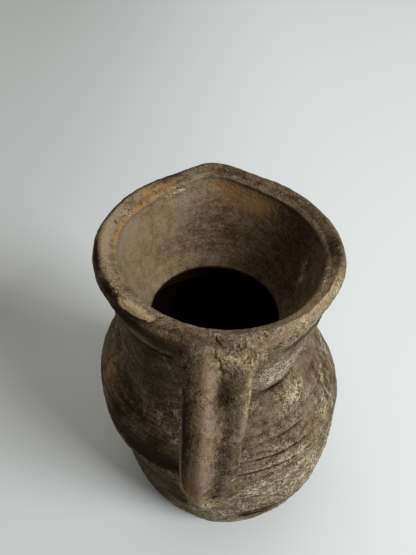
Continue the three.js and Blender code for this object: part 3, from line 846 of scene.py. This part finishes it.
rim = ringPiece("jug_lip", lipOutline, columnCount["lip"], {
    "ridges": 0.0, "scores": 0.0, "crustAll": 0.05,
    "crust": [(-40, -2, 28, 7, 0.5), (-75, -1, 18, 3, 0.2), (-112, -7, 20, 7, -0.4), (57, -1.5, 4, 1.5, 0.6),
              (120, 8.3, 10, 1.2, 0.75), (178, 1.5, 34, 3.5, 0.1), (-50, -14, 30, 6, 0.5)],
    "crustIn": [(120, 11, 10, 1.6, 0.9), (9, 25, 2, 2.5, 0.7)],
    # the pale on the left of the top is painted light where the top faces the window; inside, the pale on
    # the left of the funnel is painted light
    "pale": [(180, 2.0, 45, 4, 1.3), (-40, 0, 22, 7, 2.4)],
    "paleIn": [(168, 22, 50, 40, 0.75), (100, 37, 30, 30, 0.2)],
    "stain": [(145, 5.0, 24, 3.8, 0.75), (126, 6, 12, 3.4, 0.75), (-66, -8, 14, 5, 0.35),
              (-38, -2, 26, 6, 0.4), (-112, -6, 10, 3, 0.3), (70, 1, 22, 6, 0.4)],
    "stainIn": [(72, 15, 22, 8, 1.3), (135, 9, 14, 2, 0.6)],
    # soot at the spout and on the right of the top is painted shade where the top faces away from the
    # window; on the left, soot on the lower flank is painted shade under the lip; inside, soot on the back
    # and right of the funnel is painted shade
    "sootAndShade": [(90, 1, 34, 8, 0.42), (6, 2, 38, 7, 0.75), (-97, -2, 24, 6, 0.3), (180, -2.8, 62, 2.3, 0.95),
             (145, -0.5, 26, 2.2, 0.6), (135, 5, 22, 4, 0.2), (110, 0, 16, 2.5, 0.4), (-140, -8, 24, 5, 0.6),
             (-122, -11, 24, 6, 0.65), (-128, -21, 32, 9, 0.7)],
    "shadeIn": [(85, 30, 38, 26, 0.55), (20, 26, 38, 40, 0.58), (72, 15, 22, 8, -0.25)],
    "calm": [(165, 2, 45, 6, 0.5), (10, 2, 40, 6, 0.4), (-125, -14, 30, 14, 0.5)],
    "calmAllIn": 0.55, "extra": lipDamage},
    wallClay, level=lipLevel)
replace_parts(rim, "rim_band")

# Strap handle: broad left ridge, finger groove and narrow right ridge along its outer face. Lengths are in
# millimetres; places across run from -1 to 1 and places down from 0 to 1.
strap = {
    "reach": 90.5, "topHeight": 203.5, "bowHeight": 152.0, "footHeight": 60.0, "root": 8.0, "footRoot": 11.0,
    "bowOffset": -2.6, "footOffset": -8.3, "topRun": 22.0, "topLift": 2.0, "bowRise": 32.0, "bowFall": 20.0,
    "footRise": 44.0, "footOut": 18.5, "thickness": 10.0, "width": 26.5, "flare": 4.5, "roundness": 2.7,
    "broadRidge": (-0.32, 0.48, 3.2), "narrowRidge": (0.88, 0.2, 3.4), "groove": (0.22, 0.27, 4.2),
    "topFill": (0.5, 0.5, 1.4), "hollow": (0.35, 0.35, 1.3), "hollowDown": (0.35, 0.2),
    "grooveStarts": (0.06, 0.1), "grooveEnds": (0.19, 0.28), "sideFall": 2.2, "leftSide": (0.3, 0.95),
    "rightSide": (0.45, 1.0), "rightDown": (0.2, 0.34),
    "topSink": 4.5, "sinkEnd": 0.085, "sinkSide": (-1.0, 0.2),
    "flareEnd": 0.3, "footFlare": 2.5, "footFlareStart": 0.5, "faceTurn": (-0.3, 0.3),
    "topBlend": 12.0, "blendHeight": 3.0, "blendEnds": (0.2, 0.3),
    "seat": 1.4, "seatTurn": (-0.2, 0.5), "seatEnds": (0.93, 1.0), "rootDepth": 0.6,
}

# Weathering of the strap, with painted shade in the groove and on the left flank and a painted highlight
# on the left edge; marks are as in spots()
aged = {
    "lumps": (0, 0.5, 22.0, 11), "grit": (0, 1.0, 2.2, 12), "gritHeight": 0.15,
    "crustShare": (0.05, 0.25, 8.0, 13), "pitting": (0, 1.0, 2.6, 14, 2),
    "crust": [(0.92, 0.14, 0.16, 0.08, 0.5), (0.5, 0.065, 0.42, 0.018, 0.5), (-0.3, 0.78, 0.7, 0.2, 1.0),
              (0.85, 0.47, 0.12, 0.03, 0.6)],
    "stain": [(-0.6, 0.52, 0.35, 0.12, 1.0), (-0.28, 0.44, 0.05, 0.01, 1.2)],
    # soot in the groove, on the left flank and low on the broad ridge is painted shade; the negative spot on
    # the left edge clears it for a painted highlight
    "sootAndShade": [(0.2, 0.14, 0.3, 0.06, 0.85), (0.45, 0.33, 0.4, 0.1, 0.65), (-0.3, 0.31, 0.4, 0.09, 0.12),
             (-0.9, 0.3, 0.22, 0.4, 0.9), (-1.0, 0.45, 0.05, 0.22, -0.9), (0.3, 0.56, 0.4, 0.16, 0.7)],
    "pits": [(0.1, 0.68, 0.7, 0.2, 1.0)], "pitBreak": (0.25, 0.5), "pitDepth": 0.8,
    "calm": [(-0.35, 0.22, 0.4, 0.2, 0.35)],
    "crack": {"across": -0.1, "down": 0.06, "lean": 7.5, "wander": (0, 0.05, 3.0, 32, 2), "half": 0.02,
              "starts": (0.03, 0.045), "ends": (0.085, 0.1), "depth": 0.8, "sootAndShade": 0.9},
    "wearAndLight": {"shape": 0.28, "lumps": 0.4, "edge": 0.9}, "dullness": 0.45,
    "highlightHalf": 0.05, "highlightDown": (0.15, 0.3),
}


# The strap's middle line: two cubic curves from under the lip over the bow and down onto the belly.
def strapLine(share):
    top = np.array([0, strap["root"] - pot["mouthRadius"], strap["topHeight"]])
    bow = np.array([strap["bowOffset"], strap["thickness"] / 2 - strap["reach"], strap["bowHeight"]])
    footReach = skinRadius(strap["footHeight"]) - strap["footRoot"]
    end = np.array([strap["footOffset"], -footReach, strap["footHeight"]])
    first = bezier([top, top + (strap["bowOffset"], -strap["topRun"], strap["topLift"]),
                    bow + (0, 0, strap["bowRise"]), bow], unit(share * 2))
    second = bezier([bow, bow - (0, 0, strap["bowFall"]),
                     end + (0, -strap["footOut"], strap["footRise"]), end],
                    unit(share * 2 - 1))
    return np.where((share < 0.5)[:, None], first, second)


# Outside radius of the lip at a height.
def lipRadius(height):
    return np.interp(height, lipLine[:lipSide, 1], lipLine[:lipSide, 0])


# Sum of soft spots over the strap; each is its place across from -1 to 1 and down from 0 to 1, both spreads
# and a strength.
def spots(marks, across, down):
    return sum(strength * bump(across, side, wide) * bump(down, place, far)
               for side, place, wide, far, strength in marks)


# The strap: a rounded oblong section carried along the middle line, its outer face raised by the two ridges
# and sunk by the groove; where it would enter the pot it is smeared over the skin as a thin sheet.
def strapPiece():
    line = evenly(strapLine(np.linspace(0, 1, 800)), rowStep["strap"])
    down = np.linspace(0, 1, len(line))[:, None]
    along = np.gradient(line, axis=0)
    outwards = np.stack([0 * along[:, 0], along[:, 2], -along[:, 1]], axis=1)
    outwards = (outwards / np.linalg.norm(outwards, axis=1, keepdims=True))[:, None, :]
    rightwards = np.array([1.0, 0, 0])
    angle = np.linspace(0, 2 * np.pi, 4001)
    ring = np.column_stack([
        np.sign(f) * np.abs(f) ** (2 / strap["roundness"]) for f in (np.cos(angle), np.sin(angle))])
    ring = evenly(ring * (strap["width"], strap["thickness"]) / 2, rowStep["strapRound"])[:-1] * 2
    across = (ring[:, 0] / strap["width"])[None, :]
    out = (ring[:, 1] / strap["thickness"])[None, :]
    starts = smooth(down, *strap["grooveStarts"])
    fade = starts * (1 - smooth(down, *strap["grooveEnds"]))
    broad, narrow, groove, fill, hollow = (
        strap[key][2] * bump(across, *strap[key][:2])
        for key in ("broadRidge", "narrowRidge", "groove", "topFill", "hollow"))
    shape = broad + fade * (narrow - groove) + (1 - starts) * fill
    shape = shape - (1 - fade) * starts * hollow * bump(down, *strap["hollowDown"])
    sides = smooth(-across, *strap["leftSide"])
    sides = sides + smooth(across, *strap["rightSide"]) * smooth(down, *strap["rightDown"])
    sink = (1 - smooth(down, 0, strap["sinkEnd"])) * smooth(-across, *strap["sinkSide"])
    shape = np.maximum(out, 0) * (shape - strap["sideFall"] * sides - strap["topSink"] * sink)
    halfWidth = (strap["width"] + strap["flare"] * (1 - smooth(down, 0, strap["flareEnd"]))
                 + strap["footFlare"] * smooth(down, strap["footFlareStart"], 1)) / 2
    upright = line[:, None, :] + (across * halfWidth)[..., None] * rightwards
    upright = upright + (out * strap["thickness"] / 2 + shape)[..., None] * outwards
    lumps = uneven(upright, *aged["lumps"])
    grit = uneven(upright, *aged["grit"])
    face = smooth(out, *strap["faceTurn"])
    marks = {key: spots(aged[key], across, down) for key in ("crust", "stain", "sootAndShade", "pits", "calm")}
    crust = unit(marks["crust"] + uneven(upright, *aged["crustShare"])) * face
    pits = smooth(uneven(upright, *aged["pitting"]), *aged["pitBreak"]) * marks["pits"]
    crack = aged["crack"]
    path = crack["across"] + crack["lean"] * (down - crack["down"]) + uneven(upright, *crack["wander"])
    cracked = bump(across, path, crack["half"]) * smooth(down, *crack["starts"])
    cracked = cracked * (1 - smooth(down, *crack["ends"])) * face
    reach = np.hypot(upright[..., 0], upright[..., 1])
    gap = unit((reach - lipRadius(upright[..., 2])) / strap["topBlend"])
    blend = strap["blendHeight"] * (1 - gap) ** 2 * (1 - smooth(down, *strap["blendEnds"]))
    lift = lumps + aged["gritHeight"] * grit + crustLift(crust, grit) + blend
    lift = lift - aged["pitDepth"] * pits - crack["depth"] * cracked
    upright = upright + lift[..., None] * (out[..., None] * outwards + across[..., None] * rightwards)
    reach = np.hypot(upright[..., 0], upright[..., 1])
    proud = strap["seat"] * smooth(out, *strap["seatTurn"]) * (1 - smooth(down, *strap["seatEnds"]))
    room = np.maximum(reach, skinRadius(upright[..., 2]) + proud - strap["rootDepth"]) / reach
    upright = upright * np.stack([room, room, np.ones(room.shape)], axis=-1)
    # a painted highlight along the left edge, where it would catch light from the floor, laid on through
    # wear
    edge = bump(across, -1, aged["highlightHalf"]) * smooth(down, *aged["highlightDown"])
    wearAndLight = weighted({"shape": shape, "lumps": lumps, "edge": edge}, aged["wearAndLight"]) - aged["dullness"]
    masks = {
        "crust": crust, "stain": unit(marks["stain"] * face), "bare": 0,
        "sootAndShade": unit(marks["sootAndShade"] + pits + crack["sootAndShade"] * cracked),
        "wearAndLight": np.clip(wearAndLight, -1, 1), "calm": unit(marks["calm"] * face - crust)}
    return gridPiece("jug_strap_handle", slump(upright), False, masks, strapClay)


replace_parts(strapPiece(), "handle_strap")

# Luting clay: thumbed lenses pressed on the pot at both ends of the strap
topPad = {"middle": (0.0, 190.0), "half": (14.5, 9.0), "thickness": 8.0}
footPad = {"middle": (-8.3, 87.0), "half": (19.0, 24.0), "thickness": 3.4}
padClay = {
    "rows": 40, "pole": 0.02, "roundness": 0.8, "sink": 0.6, "backDepth": 1.2,
    "lumps": (0, 0.006, 12.0, 21), "crustShare": (0.4, 0.4, 8.0, 22), "sootAndShade": 0.2,
}


# A lens of clay on the pot's skin: thickness falls from the middle as one minus the square of the distance.
def lutingPad(name, pad, node):
    ray = np.linspace(padClay["pole"], 1, padClay["rows"])[:, None]
    angle = np.arange(columnCount["pad"])[None, :] * 2 * np.pi / columnCount["pad"]

    # points at a share of the way to the pad's edge, standing proud of the skin
    def lens(share, proud):
        sideways = pad["middle"][0] + pad["half"][0] * share * np.cos(angle)
        height = pad["middle"][1] + pad["half"][1] * share * np.sin(angle)
        radius = skinRadius(height)
        turn = sideways / radius
        reach = radius + proud
        return np.stack([reach * np.sin(turn), -reach * np.cos(turn), height + 0 * turn], axis=-1)

    dome = 1 - ray ** 2
    face = lens(ray, pad["thickness"] * dome ** padClay["roundness"] - padClay["sink"])
    lumps = uneven(face, *padClay["lumps"]) * dome
    face = face * (1 + lumps[..., None] * (1, 1, 0))
    upright = np.vstack([face, lens(ray[::-1], -padClay["backDepth"] + 0 * ray)])
    crust = unit(uneven(upright, *padClay["crustShare"]))
    masks = {"crust": crust, "stain": 0, "sootAndShade": padClay["sootAndShade"], "bare": 0, "wearAndLight": 0, "calm": 0}
    piece = gridPiece(name, slump(upright), False, masks, strapClay)
    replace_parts(piece, node)


lutingPad("jug_handle_top_clay", topPad, "handle_top_pad")
lutingPad("jug_handle_foot_clay", footPad, "handle_foot_pad")

# Floor: matt pale paper, painted greyer to the left as a falloff of the window's light; lengths in metres
paperLook = {
    "roughness": 0.95, "specular": 0.1, "half": 4.0,
    "left": "c5c9ca", "right": "e8eeef", "from": -0.32, "to": 0.16,
}
floorMaterial = bpy.data.materials.new("pale_matt_paper")
floorMaterial.use_nodes = True
paperTree = floorMaterial.node_tree
paper = paperTree.nodes["Principled BSDF"]
paper.inputs["Roughness"].default_value = paperLook["roughness"]
paper.inputs["Specular IOR Level"].default_value = paperLook["specular"]
paperPlace = addNode(paperTree, "ShaderNodeTexCoord").outputs["Object"]
sideways = addNode(paperTree, "ShaderNodeSeparateXYZ", None, {"Vector": paperPlace}).outputs["X"]
shade = addNode(paperTree, "ShaderNodeMapRange", {"interpolation_type": "SMOOTHSTEP"}, {
    "Value": sideways, "From Min": paperLook["from"], "From Max": paperLook["to"]}).outputs[0]
tint = addNode(paperTree, "ShaderNodeMix", {"data_type": "RGBA"}, {
    0: shade, 6: linear(paperLook["left"]), 7: linear(paperLook["right"])}).outputs[2]
paperTree.links.new(tint, paper.inputs["Base Color"])
floorMesh = bpy.data.meshes.new("floor")
corners = np.array([(-1, -1, 0), (1, -1, 0), (1, 1, 0), (-1, 1, 0)]) * paperLook["half"]
floorMesh.from_pydata(corners.tolist(), [], [(0, 1, 2, 3)])
floorMesh.materials.append(floorMaterial)
floor = addObject("floor", floorMesh)

# Camera: above and in front of the handle, looking down
view = {
    "place": (-0.01227, -0.2051, 0.3947), "pitch": 45.1, "focal": 561.0, "imageHeight": 555.0,
    "sensor": 36.0, "clipStart": 0.01,
}
cameraData = bpy.data.cameras.new("camera")
cameraData.sensor_width = view["sensor"]
cameraData.lens = cameraData.sensor_width * view["focal"] / view["imageHeight"]
cameraData.clip_start = view["clipStart"]
camera = addObject("camera", cameraData)
camera.location = view["place"]
camera.rotation_euler = (np.radians(90 - view["pitch"]), 0, 0)
bpy.context.scene.camera = camera

# Light: a window to the right and in front, a broad soft ceiling, and a dim even room
lamps = {
    "window": {
        "place": (2.2, -1.55, 2.15), "aim": (0, 0, 0.1), "size": 1.3, "energy": 112.0, "colour": "ffffff"},
    "ceiling": {
        "place": (0.0, 0.5, 2.6), "aim": (0, 0.3, 0), "size": 2.4, "energy": 25.0, "colour": "fffaf2"},
}
roomLight = {"colour": "f2f0ea", "falling": 0.09, "seen": 0.7}
for lampName, lamp in lamps.items():
    data = bpy.data.lights.new(lampName, "AREA")
    data.shape = "SQUARE"
    data.size = lamp["size"]
    data.energy = lamp["energy"]
    data.color = linear(lamp["colour"])[:3]
    lampObject = addObject(lampName, data)
    lampObject.location = lamp["place"]
    direction = Vector(lamp["aim"]) - Vector(lamp["place"])
    lampObject.rotation_euler = direction.to_track_quat("-Z", "Y").to_euler()

world = bpy.data.worlds.new("room")
bpy.context.scene.world = world
world.use_nodes = True
room = world.node_tree.nodes["Background"]
room.inputs["Color"].default_value = linear(roomLight["colour"])
rays = addNode(world.node_tree, "ShaderNodeLightPath").outputs
seen = 0.0
for ray in ("Is Camera Ray", "Is Glossy Ray", "Is Transmission Ray"):
    seen = addNode(world.node_tree, "ShaderNodeMath", {"operation": "ADD", "use_clamp": True}, {
        0: rays[ray], 1: seen}).outputs[0]
strength = addNode(world.node_tree, "ShaderNodeMapRange", None, {
    "Value": seen, "To Min": roomLight["falling"], "To Max": roomLight["seen"]}).outputs[0]
world.node_tree.links.new(strength, room.inputs["Strength"])
bpy.context.scene.view_settings.view_transform = "Standard"
print("floor, camera and light made")
